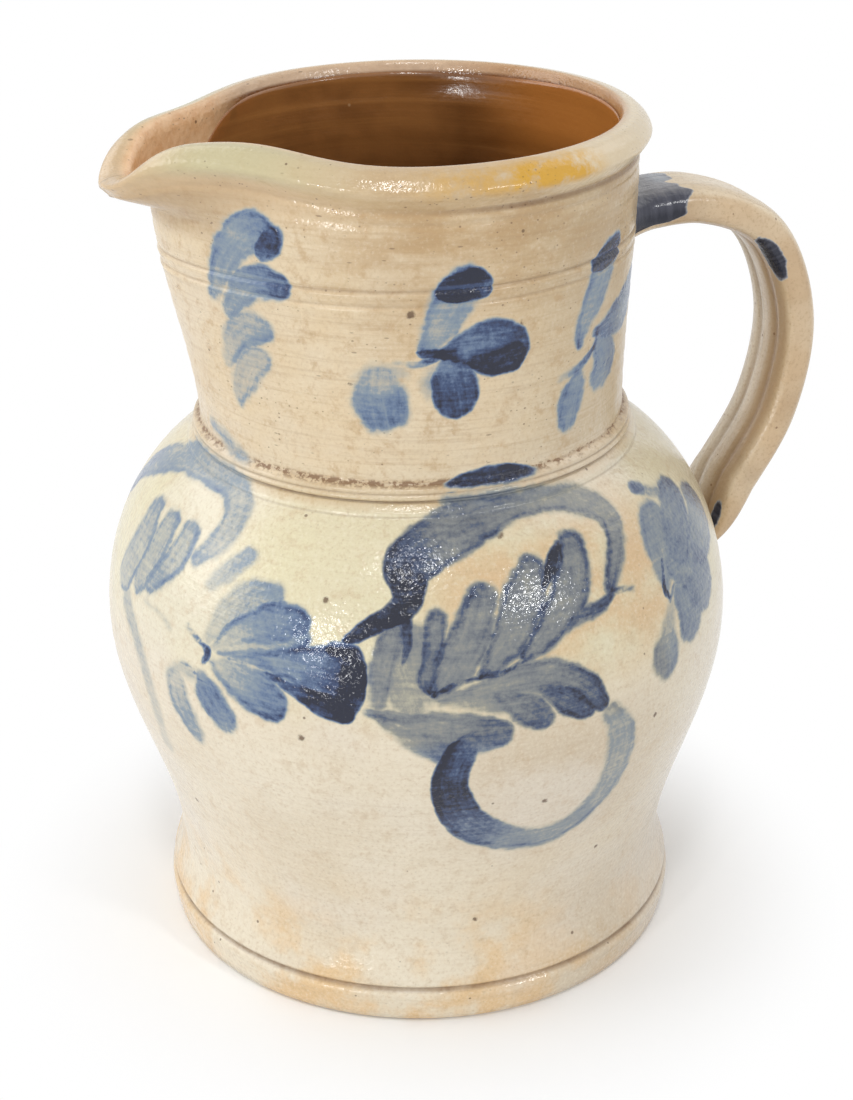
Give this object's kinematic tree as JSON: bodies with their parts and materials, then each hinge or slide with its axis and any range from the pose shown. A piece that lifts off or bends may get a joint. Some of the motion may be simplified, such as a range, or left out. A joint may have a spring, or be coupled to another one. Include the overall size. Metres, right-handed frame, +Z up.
{
  "type": "stoneware pitcher",
  "caption": "Salt-glazed stoneware pitcher with a rounded belly, straight neck, pulled pouring lip, strap handle and brown slip lining, for holding and pouring liquids.",
  "frame": {"origin": "middle of the flat resting face", "axes": "+Z up along the axis it was thrown on, -X towards the pouring lip, +X towards the handle"},
  "size_m": [0.2204, 0.1888, 0.2571],
  "materials": {
    "salt_glazed_stoneware": "salt glaze with brushed cobalt ornament",
    "brown_slip": "glossy brown slip",
    "handle_stoneware": "thin salt glaze"
  },
  "bodies": {
    "root": {"thrown_body": "salt_glazed_stoneware", "slip_lining": "brown_slip", "strap_handle": "handle_stoneware", "upper_wad": "handle_stoneware", "lower_wad": "handle_stoneware"}
  },
  "joints": []
}
